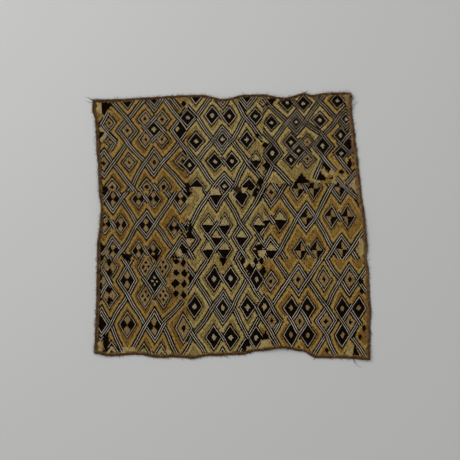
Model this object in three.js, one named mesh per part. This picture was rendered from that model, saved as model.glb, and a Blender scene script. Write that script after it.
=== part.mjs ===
// A square panel of raffia cloth with a cut-pile face, lying on a level surface.
// The woven ground, the pile standing on it and the hem rolled round its four sides are one piece of cloth.
// Lengths are in millimetres. X runs along the top side, Y from the bottom side to the top one, Z is up.
import * as THREE from "three";
import { mergeGeometries, mergeVertices } from "three/addons/utils/BufferGeometryUtils.js";

// Ground and pile together, away from the hem
const CLOTH_THICKNESS = 2.8;

// Even steps of the surface between one side's hem and the other's
const FIELD_STEPS = 34;

// A typical side, by which distances in from the hem are turned to shares of the cloth
const NOMINAL_SIDE = 590;

// The cloth was never cut square: its corners, before the whole is centred
const TOP_LEFT = new THREE.Vector2(-306.4, 278.9);
const TOP_RIGHT = new THREE.Vector2(262.4, 294.3);
const BOTTOM_RIGHT = new THREE.Vector2(304.8, -293.2);
const BOTTOM_LEFT = new THREE.Vector2(-302.0, -278.9);

// Section across the rolled hem: how far in, the height of its face and the height of its underside
const HEM_SECTION = [
  { inset: 0, face: 2.2, under: 2.2 },
  { inset: 0.8, face: 3.7, under: 0.7 },
  { inset: 2.6, face: 4.6, under: 0 },
  { inset: 4.6, face: 4.1, under: 0 },
  { inset: 6.4, face: CLOTH_THICKNESS, under: 0 },
];

// How far each side bows outwards of the straight line between its corners, at a distance along it
const TOP_SIDE = [
  { along: 0, out: 0 },
  { along: 60, out: -0.4 },
  { along: 126, out: 1.8 },
  { along: 192, out: 4.0 },
  { along: 236, out: 4.0 },
  { along: 291, out: -6.8 },
  { along: 335, out: 1.5 },
  { along: 370, out: 1.6 },
  { along: 423, out: -7.3 },
  { along: 467, out: 1.5 },
  { along: 483, out: -3.3 },
  { along: 511, out: 0.9 },
  { along: 569, out: 0 },
];
const RIGHT_SIDE = [
  { along: 0, out: 0 },
  { along: 38, out: -1.8 },
  { along: 98, out: 1.6 },
  { along: 148, out: 4.6 },
  { along: 214, out: 6.4 },
  { along: 280, out: 10.6 },
  { along: 340, out: 11.6 },
  { along: 364, out: 7.7 },
  { along: 395, out: 10.6 },
  { along: 456, out: 8.8 },
  { along: 483, out: 9.5 },
  { along: 520, out: 4.6 },
  { along: 589, out: 0 },
];
const BOTTOM_SIDE = [
  { along: 0, out: 0 },
  { along: 34, out: 5.2 },
  { along: 95, out: 0.8 },
  { along: 144, out: 6.4 },
  { along: 177, out: 4.2 },
  { along: 215, out: 6.2 },
  { along: 256, out: -0.8 },
  { along: 320, out: -4.4 },
  { along: 364, out: -14.1 },
  { along: 415, out: -21.2 },
  { along: 456, out: -15.5 },
  { along: 488, out: -1.4 },
  { along: 551, out: -2.0 },
  { along: 607, out: 0 },
];
const LEFT_SIDE = [
  { along: 0, out: 0 },
  { along: 23, out: 0 },
  { along: 48, out: -6.2 },
  { along: 100, out: -7.9 },
  { along: 150, out: -11.4 },
  { along: 199, out: -13.0 },
  { along: 240, out: -17.2 },
  { along: 276, out: -14.0 },
  { along: 320, out: -8.0 },
  { along: 430, out: -5.5 },
  { along: 507, out: -2.2 },
  { along: 558, out: 0 },
];

// Where the stiff cloth stands off the surface it lies on: a swell's centre, its reach each way and its rise
const SWELLS = [
  { x: 110, y: -282, reachX: 75, reachY: 70, rise: 5.0 },
  { x: 186, y: -292, reachX: 34, reachY: 40, rise: -1.5 },
  { x: -292, y: 50, reachX: 60, reachY: 110, rise: 3.5 },
  { x: -20, y: 296, reachX: 55, reachY: 45, rise: 3.0 },
  { x: 113, y: 296, reachX: 48, reachY: 48, rise: 3.5 },
  { x: 262, y: 294, reachX: 60, reachY: 60, rise: 4.0 },
  { x: 300, y: -20, reachX: 50, reachY: 80, rise: 3.0 },
  { x: 304, y: -293, reachX: 55, reachY: 55, rise: 3.5 },
  { x: -300, y: -275, reachX: 50, reachY: 50, rise: 2.5 },
  { x: -190, y: 150, reachX: 90, reachY: 110, rise: 1.2 },
  { x: 170, y: 110, reachX: 85, reachY: 90, rise: 1.4 },
  { x: -160, y: -170, reachX: 95, reachY: 60, rise: 1.3 },
];

// The value of a table's column at a place between its rows, eased so that no row leaves a corner
function columnAt(rows, placeColumn, valueColumn, place) {
  const last = rows.length - 1;
  if (place >= rows[last][placeColumn]) {
    return rows[last][valueColumn];
  }
  const next = Math.max(1, rows.findIndex((row) => row[placeColumn] > place));
  const before = rows[next - 1];
  const after = rows[next];
  const share = (place - before[placeColumn]) / (after[placeColumn] - before[placeColumn]);
  return THREE.MathUtils.lerp(before[valueColumn], after[valueColumn], THREE.MathUtils.smoothstep(share, 0, 1));
}

// A point of one side, a share of the way from its first corner to its second, outwards on the left or right
function sidePoint(firstCorner, secondCorner, rows, share, outwardTurn) {
  const direction = secondCorner.clone().sub(firstCorner).normalize();
  const outward = new THREE.Vector2(-direction.y, direction.x).multiplyScalar(outwardTurn);
  const bow = columnAt(rows, "along", "out", share * rows[rows.length - 1].along);
  return firstCorner.clone().lerp(secondCorner, share).addScaledVector(outward, bow);
}

// The plan of the cloth: across runs from its left side to its right one, up from its bottom side to its top one
function planPoint(across, up) {
  const down = 1 - up;
  const top = sidePoint(TOP_LEFT, TOP_RIGHT, TOP_SIDE, across, 1);
  const bottom = sidePoint(BOTTOM_LEFT, BOTTOM_RIGHT, BOTTOM_SIDE, across, -1);
  const left = sidePoint(TOP_LEFT, BOTTOM_LEFT, LEFT_SIDE, down, -1);
  const right = sidePoint(TOP_RIGHT, BOTTOM_RIGHT, RIGHT_SIDE, down, 1);
  const between = top.multiplyScalar(up).addScaledVector(bottom, down);
  between.addScaledVector(left, 1 - across).addScaledVector(right, across);
  const cornersOnLeft = TOP_LEFT.clone().lerp(BOTTOM_LEFT, down);
  const cornersOnRight = TOP_RIGHT.clone().lerp(BOTTOM_RIGHT, down);
  return between.sub(cornersOnLeft.lerp(cornersOnRight, across));
}

// How far the underside is off the surface at a place in plan
function liftAt(place) {
  let lift = 0;
  for (const swell of SWELLS) {
    const away = Math.hypot((place.x - swell.x) / swell.reachX, (place.y - swell.y) / swell.reachY);
    const bell = away < 1 ? 0.5 + 0.5 * Math.cos(Math.PI * away) : 0;
    lift += swell.rise * bell;
  }
  return Math.max(0, lift);
}

// Shares of a side at which the surface has a line: those of the hem's section, then even steps, then the hem's
function surfaceLines() {
  const hem = HEM_SECTION.map((row) => row.inset / NOMINAL_SIDE);
  const inner = hem[hem.length - 1];
  const lines = [...hem];
  for (let step = 1; step < FIELD_STEPS; step += 1) {
    lines.push(THREE.MathUtils.lerp(inner, 1 - inner, step / FIELD_STEPS));
  }
  return lines.concat(hem.map((share) => 1 - share).reverse());
}

// One skin of the cloth: a plane laid over the plan, at the height that the hem's section gives
function clothSkin(heightColumn) {
  const lines = surfaceLines();
  const skin = new THREE.PlaneGeometry(1, 1, lines.length - 1, lines.length - 1);
  const points = skin.getAttribute("position");
  lines.forEach((down, row) => {
    lines.forEach((across, column) => {
      const place = planPoint(across, 1 - down);
      const inset = NOMINAL_SIDE * Math.min(across, 1 - across, down, 1 - down);
      const height = columnAt(HEM_SECTION, "inset", heightColumn, inset) + liftAt(place);
      points.setXYZ(row * lines.length + column, place.x, place.y, height);
    });
  });
  skin.deleteAttribute("normal");
  skin.deleteAttribute("uv");
  return skin;
}

// The underside faces down, so its triangles are wound the other way
function turnOver(skin) {
  const index = skin.getIndex();
  for (let corner = 0; corner < index.count; corner += 3) {
    const second = index.getX(corner + 1);
    index.setX(corner + 1, index.getX(corner + 2));
    index.setX(corner + 2, second);
  }
  return skin;
}

// The two skins meet along the outer edge of the hem and close the cloth
function clothGeometry() {
  const both = mergeGeometries([clothSkin("face"), turnOver(clothSkin("under"))]);
  const closed = mergeVertices(both, 1e-3);
  closed.computeBoundingBox();
  const centre = closed.boundingBox.getCenter(new THREE.Vector3());
  closed.translate(-centre.x, -centre.y, -closed.boundingBox.min.z);
  closed.computeVertexNormals();
  return closed;
}

const raffia = new THREE.MeshStandardMaterial({ color: "#6b5a3c", roughness: 0.85, metalness: 0 });

const cloth = new THREE.Mesh(clothGeometry(), raffia);
cloth.name = "cloth";

const panel = new THREE.Group();
panel.name = "raffia_panel";
panel.add(cloth);

export default panel;
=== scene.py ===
import math

import bmesh
import bpy
import numpy as np
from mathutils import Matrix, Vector


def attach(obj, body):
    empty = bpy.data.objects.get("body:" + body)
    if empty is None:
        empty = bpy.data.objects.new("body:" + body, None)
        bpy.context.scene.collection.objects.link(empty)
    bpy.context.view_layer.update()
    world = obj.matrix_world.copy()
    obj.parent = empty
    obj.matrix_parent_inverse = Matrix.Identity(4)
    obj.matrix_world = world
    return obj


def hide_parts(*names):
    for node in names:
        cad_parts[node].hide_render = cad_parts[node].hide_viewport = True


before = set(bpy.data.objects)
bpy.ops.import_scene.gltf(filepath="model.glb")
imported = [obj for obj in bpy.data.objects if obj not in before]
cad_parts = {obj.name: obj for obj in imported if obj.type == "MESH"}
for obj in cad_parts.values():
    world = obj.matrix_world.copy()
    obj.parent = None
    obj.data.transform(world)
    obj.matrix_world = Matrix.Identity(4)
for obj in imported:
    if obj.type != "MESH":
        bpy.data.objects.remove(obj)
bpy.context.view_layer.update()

# Camera.
# The photograph looks straight down on the cloth from far away, with the top side of the cloth
# towards the top of the picture and the cloth's middle a little right of and above the picture's.
MM = 0.001
PICTURE_WIDTH = 1012 * MM
CLOTH_RIGHT_OF_MIDDLE = 3.9 * MM
CLOTH_ABOVE_MIDDLE = 8.2 * MM
CAMERA_HEIGHT = 2.6

camera_data = bpy.data.cameras.new("camera")
camera_data.lens = camera_data.sensor_width * CAMERA_HEIGHT / PICTURE_WIDTH
camera = bpy.data.objects.new("camera", camera_data)
camera.location = (-CLOTH_RIGHT_OF_MIDDLE, -CLOTH_ABOVE_MIDDLE, CAMERA_HEIGHT)
bpy.context.scene.collection.objects.link(camera)
bpy.context.scene.camera = camera

# Woven ground with its rolled hem.
# Raffia palm leaf is split to strips about a millimetre wide and plain-woven, so the cloth is stiff and
# never square. Its four edges are rolled over towards the face and whipped down as a cord-like hem.
GROUND_THICKNESS = 0.9
GROUND_STEPS = 150
EDGE_POINTS = 400
EDGE_WELD = 0.02
NOMINAL_SIDE = 590
RAFFIA_STRIP = 1.1

CORNERS = {
    "top left": (-306.4, 278.9),
    "top right": (262.4, 294.3),
    "bottom right": (304.8, -293.2),
    "bottom left": (-302.0, -278.9),
}

# Rows of: how far in from the edge, height of the face, height of the underside
HEM_SECTION = [
    (0, 2.2, 2.2),
    (0.4, 3.1, 1.2),
    (1.2, 4.0, 0.5),
    (2.4, 4.5, 0.05),
    (3.6, 4.5, 0),
    (4.8, 3.9, 0),
    (5.8, 2.4, 0),
    (6.4, GROUND_THICKNESS, 0),
]

# From this far in the ground's face is hidden by stitches, and coloured dark for their dye and as painted
# shade under the pile
WORKED_FROM = 11

# The roll is fullest along the bottom: each side's share of the section's width
HEM_SHARE = {"left": 0.72, "right": 0.85, "bottom": 1.0, "top": 0.75}

# The roll is lumpy: by this share of its height, in lumps this long along x and y
LUMP_SHARE = 0.12
LUMP_LENGTHS = (4.3, 3.9)

# How much darker each side's roll is coloured
HEM_DARKNESS = {"left": 0.8, "right": 0.75, "bottom": 1.0, "top": 0.9}

# Rows of: distance along the side, how far it bows outwards there
TOP_SIDE = [
    (0, 0), (60, -0.4), (126, 1.8), (192, 4.0), (236, 4.0), (291, -6.8), (335, 1.5),
    (370, 1.6), (423, -7.3), (467, 1.5), (483, -3.3), (511, 0.9), (569, 0),
]
RIGHT_SIDE = [
    (0, 0), (38, -1.8), (98, 1.6), (148, 4.6), (214, 6.4), (280, 10.6), (340, 11.6),
    (364, 7.7), (395, 10.6), (456, 8.8), (483, 9.5), (520, 4.6), (589, 0),
]
BOTTOM_SIDE = [
    (0, 0), (34, 5.2), (95, 0.8), (144, 6.4), (177, 4.2), (215, 6.2), (256, -0.8),
    (320, -4.4), (364, -14.1), (415, -21.2), (456, -15.5), (488, -1.4), (551, -2.0), (607, 0),
]
LEFT_SIDE = [
    (0, 0), (23, 0), (48, -6.2), (100, -7.9), (150, -11.4), (199, -13.0), (240, -17.2),
    (276, -14.0), (320, -8.0), (430, -5.5), (507, -2.2), (558, 0),
]

# Where the stiff cloth stands off the surface: rows of centre x and y, reach in x and y, rise
SWELLS = [
    (110, -282, 75, 70, 5.0),
    (186, -292, 34, 40, -1.5),
    (-292, 50, 60, 110, 3.5),
    (-20, 296, 55, 45, 3.0),
    (113, 296, 48, 48, 3.5),
    (262, 294, 60, 60, 4.0),
    (300, -20, 50, 80, 3.0),
    (304, -293, 55, 55, 3.5),
    (-300, -275, 50, 50, 2.5),
    (-190, 150, 90, 110, 1.2),
    (170, 110, 85, 90, 1.4),
    (-160, -170, 95, 60, 1.3),
]


def eased(places, rows, column=1):
    """A table's column at places between its rows, eased so that no row leaves a corner."""
    table = np.array(rows, float)
    before = np.clip(np.searchsorted(table[:, 0], places, side="right") - 1, 0, len(table) - 2)
    start, end = table[before, 0], table[before + 1, 0]
    share = np.clip((places - start) / (end - start), 0, 1)
    share = share * share * (3 - 2 * share)
    return table[before, column] * (1 - share) + table[before + 1, column] * share


def side_points(first, second, rows, share, outward_turn):
    """Points of one side, outwards on the left of its direction where outward_turn is 1."""
    first, second = np.array(CORNERS[first]), np.array(CORNERS[second])
    direction = (second - first) / np.linalg.norm(second - first)
    outward = np.array((-direction[1], direction[0])) * outward_turn
    bow = eased(share * rows[-1][0], rows)
    return first + (second - first) * share[:, None] + outward * bow[:, None]


def plan(across, up):
    """Uncentred x and y of the cloth at shares of its width and height, as arrays of the same length."""
    down = 1 - up
    top = side_points("top left", "top right", TOP_SIDE, across, 1)
    bottom = side_points("bottom left", "bottom right", BOTTOM_SIDE, across, -1)
    left = side_points("top left", "bottom left", LEFT_SIDE, down, -1)
    right = side_points("top right", "bottom right", RIGHT_SIDE, down, 1)
    corner = {name: np.array(place) for name, place in CORNERS.items()}
    a, d = across[:, None], down[:, None]
    flat = (corner["top left"] * (1 - d) + corner["bottom left"] * d) * (1 - a)
    flat = flat + (corner["top right"] * (1 - d) + corner["bottom right"] * d) * a
    return top * (1 - d) + bottom * d + left * (1 - a) + right * a - flat


def lift(x, y):
    """How far the underside stands off the surface, at uncentred places."""
    total = np.zeros_like(x)
    for centre_x, centre_y, reach_x, reach_y, rise in SWELLS:
        away = np.hypot((x - centre_x) / reach_x, (y - centre_y) / reach_y)
        total += np.where(away < 1, rise * (0.5 + 0.5 * np.cos(np.pi * np.clip(away, 0, 1))), 0)
    return np.maximum(total, 0)


# Points along each side of the finished outline
round_it = np.linspace(0, 1, EDGE_POINTS)
ends = np.zeros_like(round_it)
EDGE = {
    "top": plan(round_it, ends + 1),
    "right": plan(ends + 1, 1 - round_it),
    "bottom": plan(1 - round_it, ends),
    "left": plan(ends, round_it),
}
edge_line = np.concatenate(list(EDGE.values()))
CENTRE = (edge_line.min(0) + edge_line.max(0)) / 2


def hem_lines(first, second):
    """Shares of a side at which the ground has a line: close over both hems, even between."""
    hem = np.array([row[0] for row in HEM_SECTION]) / NOMINAL_SIDE
    start, end = hem * HEM_SHARE[first], 1 - hem[::-1] * HEM_SHARE[second]
    field = np.linspace(start[-1], end[0], GROUND_STEPS + 1)[1:-1]
    return np.concatenate([start, field, end])


def ground_skin(mesh, height_column):
    """One skin of the ground: a grid laid over the plan at the heights that the hem's section gives."""
    shares_across, shares_up = hem_lines("left", "right"), hem_lines("bottom", "top")
    last = len(shares_across) - 1
    layers = mesh.verts.layers.float
    rolled = layers.get("rolled") or layers.new("rolled")
    worked = layers.get("worked") or layers.new("worked")
    made = bmesh.ops.create_grid(mesh, x_segments=last, y_segments=last, size=1)["verts"]
    steps = np.array([vertex.co for vertex in made])
    across = shares_across[np.rint((steps[:, 0] + 1) / 2 * last).astype(int)]
    up = shares_up[np.rint((steps[:, 1] + 1) / 2 * last).astype(int)]
    place = plan(across, up)
    from_side = {"left": across, "right": 1 - across, "bottom": up, "top": 1 - up}
    insets = np.array([NOMINAL_SIDE * share / HEM_SHARE[side] for side, share in from_side.items()])
    inset = insets.min(0)
    darkness = np.array([HEM_DARKNESS[side] for side in from_side])[insets.argmin(0)]
    lump_x, lump_y = (place / LUMP_LENGTHS).T
    lumps = 1 + LUMP_SHARE * np.sin(lump_x) * np.cos(lump_y)
    height = eased(inset, HEM_SECTION, height_column)
    height = np.where(inset < HEM_SECTION[-1][0], height * lumps, height)
    height += lift(place[:, 0], place[:, 1])
    for vertex, (x, y), z, depth, dark in zip(made, place - CENTRE, height, inset, darkness):
        vertex.co = (x * MM, y * MM, z * MM)
        vertex[rolled] = dark if depth < HEM_SECTION[-2][0] else 0
        # worked marks the face that is coloured dark, partly for dye and partly as painted shade under the
        # pile
        vertex[worked] = 1 if depth > WORKED_FROM and height_column == 1 else 0
    return made


def placed(name, data):
    """A mesh as an object at the origin that rides on the cloth's one body."""
    piece = bpy.data.objects.new(name, data)
    bpy.context.scene.collection.objects.link(piece)
    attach(piece, "root")
    return piece


def linear(hex_colour):
    """An sRGB hex colour as linear red, green, blue and alpha."""
    parts = [int(hex_colour[i : i + 2], 16) / 255 for i in (1, 3, 5)]
    return [p / 12.92 if p <= 0.04045 else ((p + 0.055) / 1.055) ** 2.4 for p in parts] + [1]


def add(tree, kind, settings=None, links=None):
    """A node with its settings, some of them socket values, and its inputs' links."""
    node = tree.nodes.new(kind)
    for key, value in (settings or {}).items():
        if isinstance(key, int) or key in node.inputs:
            node.inputs[key].default_value = value
        else:
            setattr(node, key, value)
    for key, source in (links or {}).items():
        tree.links.new(source, node.inputs[key])
    return node


def new_material(name):
    """A material, its empty tree and the piece's own coordinates."""
    material = bpy.data.materials.new(name)
    material.use_nodes = True
    tree = material.node_tree
    tree.nodes.clear()
    return material, tree, add(tree, "ShaderNodeTexCoord").outputs["Object"]


def noise(tree, place, size, detail):
    """Soft noise of a size in millimetres."""
    return add(tree, "ShaderNodeTexNoise", {"Scale": 1 / (size * MM), "Detail": detail}, {"Vector": place})


def mixed(tree, share, first, second):
    """Two amounts mixed, with the second's share given."""
    settings = {"data_type": "FLOAT", "Factor": share}
    return add(tree, "ShaderNodeMix", settings, {2: first, 3: second}).outputs[0]


def three_tones(tree, amount, colours, reach):
    """A ramp through three colours, the outer two this far from the middle."""
    ramp = add(tree, "ShaderNodeValToRGB", None, {"Fac": amount})
    ramp.color_ramp.elements.new(0.5)
    for stop, position, colour in zip(ramp.color_ramp.elements, (0.5 - reach, 0.5, 0.5 + reach), colours):
        stop.position = position
        stop.color = linear(colour)
    return ramp.outputs["Color"]


def surface(tree, colour, height, strength, depth, roughness, specular):
    """The last nodes of a material: relief of a depth in millimetres and the raffia's own sheen."""
    bump = add(tree, "ShaderNodeBump", {"Strength": strength, "Distance": depth * MM}, {"Height": height})
    shader = add(
        tree,
        "ShaderNodeBsdfPrincipled",
        {"Roughness": roughness, "Specular IOR Level": specular, "IOR": 1.5},
        {"Base Color": colour, "Normal": bump.outputs["Normal"]},
    )
    add(tree, "ShaderNodeOutputMaterial", None, {"Surface": shader.outputs["BSDF"]})


# Raffia takes dye and ages in blotches of this size, and each strand has a tone of its own
BLOTCH = 26
OWN_TONE_SHARE = 0.6


def fibre_material(name, colours, roughness=0.7, depth=0.1, fibre=0.5, specular=0.06):
    """Split raffia in three mixed tones, with the fine fibres of the leaf as relief."""
    material, tree, place = new_material(name)
    blotch = noise(tree, place, BLOTCH, 3.0).outputs["Fac"]
    own = add(tree, "ShaderNodeAttribute", {"attribute_name": "own_tone"}).outputs["Fac"]
    colour = three_tones(tree, mixed(tree, OWN_TONE_SHARE, blotch, own), colours, 0.3)
    surface(tree, colour, noise(tree, place, fibre, 2.0).outputs["Fac"], 0.6, depth, roughness, specular)
    return material


# The strips of the weave bend over this length, by up to this much, and are blotched finely; the
# blotches take this share of the tone, and painted shade in the weave's low places the rest
STRIP_BENDS = 18
STRIP_WANDER = 1.6
STRIP_BLOTCH = 9
STRIP_BLOTCH_SHARE = 0.7


def weave_material():
    """Plain-woven raffia, matt and dry: strips go over and under at right angles, and show as a fine basket
    of lighter strips; painted shade makes the low places between them browner. The strips are drawn at
    their real width."""
    material, tree, place = new_material("plain woven raffia")
    bends = noise(tree, place, STRIP_BENDS, 2.0).outputs["Color"]
    settings = {"operation": "SCALE", "Scale": STRIP_WANDER * MM}
    shift = add(tree, "ShaderNodeVectorMath", settings, {0: bends}).outputs["Vector"]
    bent = add(tree, "ShaderNodeVectorMath", {"operation": "ADD"}, {0: place, 1: shift}).outputs["Vector"]
    turn = math.pi / (RAFFIA_STRIP * MM)
    axes = add(tree, "ShaderNodeSeparateXYZ", None, {"Vector": bent})
    waves = {}
    for axis in "XY":
        angle = add(tree, "ShaderNodeMath", {"operation": "MULTIPLY", 1: turn}, {0: axes.outputs[axis]})
        waves[axis] = add(tree, "ShaderNodeMath", {"operation": "SINE"}, {0: angle.outputs[0]}).outputs[0]
    over = add(tree, "ShaderNodeMath", {"operation": "MULTIPLY"}, {0: waves["X"], 1: waves["Y"]}).outputs[0]
    ends = {"From Min": -1.0, "From Max": 1.0}
    height = add(tree, "ShaderNodeMapRange", ends, {"Value": over}).outputs["Result"]
    blotch = noise(tree, place, STRIP_BLOTCH, 4.0).outputs["Fac"]
    # The tone is blotched, and darker where the weave dips: painted shade between the strips
    strip = mixed(tree, STRIP_BLOTCH_SHARE, height, blotch)
    colour = three_tones(tree, strip, ("#2c1f12", "#6c5130", "#a5875c"), 0.25)

    # The rolled edge is coloured darker, and the face under the stitches darker for their dye and as
    # painted shade under the pile
    for attribute, darkening_colour in (("rolled", "#9c8b78"), ("worked", "#54463a")):
        where = add(tree, "ShaderNodeAttribute", {"attribute_name": attribute}).outputs["Fac"]
        settings = {"data_type": "RGBA", "blend_type": "MULTIPLY", 7: linear(darkening_colour)}
        colour = add(tree, "ShaderNodeMix", settings, {0: where, 6: colour}).outputs[2]
    surface(tree, colour, height, 0.8, 0.35, 0.85, 0.1)
    return material


ground_mesh = bmesh.new()
ground_skin(ground_mesh, 1)
under = ground_skin(ground_mesh, 2)
under_faces = {face for vertex in under for face in vertex.link_faces}
bmesh.ops.reverse_faces(ground_mesh, faces=list(under_faces))
bmesh.ops.remove_doubles(ground_mesh, verts=ground_mesh.verts, dist=EDGE_WELD * MM)
ground_data = bpy.data.meshes.new("woven_ground")
ground_mesh.to_mesh(ground_data)
ground_mesh.free()
ground_data.polygons.foreach_set("use_smooth", [True] * len(ground_data.polygons))
ground_data.materials.append(weave_material())
ground = placed("woven_ground", ground_data)
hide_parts("cloth")

# Chart of the embroidery.
# The embroiderer works freehand, counting the ground's strips: the chart counts in rows of
# stitches, right and down from the panel's top left corner. It is made of diamonds and of the
# ribbons of five lines that join them, in nine areas that were worked one after another.
STITCH_ROW = 2.2
CHART_MIDDLE = (139.75, 133.25)
RIBBON_LINES = ("dark", "light", "dark", "light", "dark")
RIBBON_ROW = 1.0
OUTLINE_LINES = ("dark", "light", "dark")
OUTLINE_ROW = 0.9
THIN_ROW = 0.72
NESTED_LINES = ("light",)
THIN_FILLINGS = "pqrtug"

# How far the upper ribbon is drawn to each side of a crossing, and a ribbon past the last point
CROSSING_REACH = 4.0
STUB_REACH = 30

# Neighbouring diamonds of a pair or a group of four share this much of their width and height
SHARED = (0.7, 0.8)

# Each area: its limits left, right, top and bottom, half sizes of its knots and of its single
# diamonds, how far its lines are faded, the columns and rows of its lattice, and its lattice points.
# A point's first letter is H for a knot where two ribbons cross at each side, V where they cross
# above and below, X for a plain crossing (Y with the other ribbon on top), B for one diamond, A for
# a pair and C for four round a fifth. The letters after it are the fillings. Freehand work drifts,
# so some points are moved, and the ribbon ends named as missing were never worked.
AREAS = {
    "upper left": {
        "limits": (0, 95, 0, 98),
        "knot": (8.8, 11.9),
        "single": (9.1, 10.6),
        "faded": 0.08,
        "columns": (11, 35.5, 62, 88),
        "rows": (5, 37, 69, 94),
        "points": ("-- Bk Hk --", "-- Vd CddE Vl", "Hd Bd Hd Bd", "Bd X ADD X"),
        "moved": {
            (0, 1): (0, 1.5), (1, 1): (0, 0.7), (1, 2): (0, -1), (2, 0): (1.2, 1.3), (2, 1): (1.5, 0.3),
            (2, 3): (2.5, -1), (3, 0): (9.5, 0), (3, 1): (4, -0.5), (3, 2): (1.2, 0), (3, 3): (6, 1),
        },
    },
    "upper middle": {
        "limits": (95, 171, 0, 97),
        "knot": (9.5, 11.8),
        "single": (9.2, 10.8),
        "faded": 0.1,
        "columns": (104, 130.5, 155),
        "rows": (1.5, 23.5, 46.5, 68, 93),
        "points": ("Bk Hk Hk", "X Aee X", "Be He Be", "X Aee X", "Bu He Bk"),
        "missing": ((1, 2, 1, -1), (3, 2, 1, -1)),
        "moved": {
            (0, 2): (-0.5, 1), (1, 1): (-1.8, -1), (1, 2): (-1.5, 0.5), (2, 0): (0, 1.5),
            (3, 0): (1.5, 0), (3, 1): (0.8, 0.3), (4, 0): (1, 1), (4, 1): (1.8, 0), (4, 2): (2, 0),
        },
    },
    "upper right": {
        "limits": (171, 280, 0, 90),
        "knot": (8.8, 10.8),
        "single": (8.8, 9.6),
        "faded": 0.7,
        "columns": (180, 204, 228, 253),
        "rows": (9, 28, 57, 90),
        "points": ("X Aee X Aee", "Be He Be He", "Ve Cede Ve Ceek", "-- -- -- --"),
        "moved": {
            (0, 0): (-3, 2), (0, 1): (-0.5, 1), (0, 2): (-1, -1), (0, 3): (0.5, -1),
            (1, 0): (-0.5, 1.5), (1, 1): (0.3, 1), (1, 2): (0, -1), (1, 3): (1, -2),
            (2, 0): (0.5, 3), (2, 1): (3, 0.5), (2, 2): (3, -4), (2, 3): (4, -6),
        },
    },
    "middle left": {
        "limits": (0, 95, 98, 166),
        "knot": (8.8, 12.3),
        "single": (8.3, 11.2),
        "faded": 0.1,
        "columns": (21, 54.3, 88.5),
        "rows": (105.5, 131.3, 157.5),
        "points": ("Hp App Hp", "App Hp App", "Hp App Hk"),
        "moved": {(1, 2): (1.5, 3), (2, 2): (2, -1)},
    },
    "middle": {
        "limits": (95, 172, 97, 166),
        "knot": (8.6, 13.0),
        "single": (8.8, 12.8),
        "faded": 0.08,
        "columns": (97.5, 124.5, 149.5, 175),
        "rows": (105, 144),
        "points": ("-- Ht Bk Hd", "Vu Cttt Vt Cttt"),
        "moved": {(0, 1): (0, -3), (0, 2): (0, -2), (0, 3): (4, -6), (1, 0): (0, 2)},
    },
    "middle right": {
        "limits": (172, 280, 90, 166),
        "knot": (9.0, 13.2),
        "single": (8.8, 13.2),
        "faded": 0.06,
        "columns": (179, 214.5, 248),
        "rows": (99, 124, 157),
        "points": ("Hd Aqq Hq", "Att Hq Aqq", "Ht Aqq Hq"),
        "moved": {
            (0, 1): (-0.7, -3.5), (0, 2): (0, -5), (1, 0): (0.9, 3), (1, 2): (-0.5, -0.5),
            (2, 1): (2.3, 0), (2, 2): (2, -1),
        },
    },
    "lower left": {
        "limits": (0, 95, 166, 270),
        "knot": (9.0, 15.0),
        "single": (9.5, 15.0),
        "faded": 0.0,
        "columns": (9.5, 35.5, 62.5, 93),
        "rows": (188, 231.5, 264),
        "points": ("Crrr Vp Cggw --", "Hk Bp Hp --", "Avv X Avv X"),
        "moved": {
            (0, 0): (-0.7, 0), (0, 1): (0, -0.8), (1, 0): (0, -1), (1, 2): (0, 1),
            (2, 0): (1.5, -3), (2, 1): (-1.5, 3), (2, 2): (-1.8, -1), (2, 3): (-5, 4),
        },
    },
    "lower middle": {
        "limits": (95, 178, 166, 270),
        "knot": (9.6, 15.0),
        "single": (9.2, 14.2),
        "faded": 0.04,
        "columns": (103.5, 130.5, 155.5),
        "rows": (142.5, 185, 214, 243.5, 272),
        "points": ("-- X --", "Y Aee X", "Be He Be", "X Aee X", "-- Hs --"),
        "moved": {(2, 0): (-1, -1), (2, 1): (0.5, 0), (3, 0): (-2, -1.5), (3, 1): (-0.3, 0.5)},
    },
    "lower right": {
        "limits": (178, 280, 166, 270),
        "knot": (9.3, 14.0),
        "single": (8.9, 14.2),
        "faded": 0.0,
        "columns": (206.5, 233, 257.5),
        "rows": (186.5, 228, 271),
        "points": ("Hd Bd Hd", "Cjjd Vd Cjjd", "Hk -- Hk"),
        "moved": {(0, 1): (-1, -0.5), (1, 0): (1, 0), (1, 1): (1.3, -0.5), (1, 2): (1, 0.5)},
    },
}

# Outlined diamonds worked between the areas: column, row, half width, half height, filling
BETWEEN = [
    (17, 29.5, 8.3, 9.8, "d"), (18, 46.5, 8, 9.5, "d"),
    (95.5, 24.5, 9, 10.3, "e"), (97.5, 72, 8.5, 10.3, "e"), (163.5, 23, 8.3, 10, "e"),
    (164, 67.5, 8, 10.5, "t"), (91.5, 235, 9.8, 17, "d"),
    (164.5, 186, 8.7, 14, "e"), (179, 188, 8.5, 12, "d"), (164, 244, 9, 14, "e"),
    (172, 213.5, 8.3, 13.5, "E"), (179.5, 227, 9, 13.5, "d"),
]

# Ribbons that leave the lattice: column and row of both ends
STRAYS = [
    (18.5, 7, 35.3, 25.8), (16, 19.5, 7.5, 34), (23, 48, 17.5, 58), (9, 32.5, 23.5, 48.5),
    (79, 5, 88, 15.5), (180.5, 71.5, 199, 91), (180.5, 72, 172.5, 88), (231, 66, 223, 86),
    (231, 64, 243.5, 78), (246, 63, 258, 79), (265, 76, 255, 89), (71, 229.5, 91, 208),
    (189, 227.5, 182.5, 240), (164, 214, 187.5, 253), (174, 203.5, 189, 227.5),
]

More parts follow.
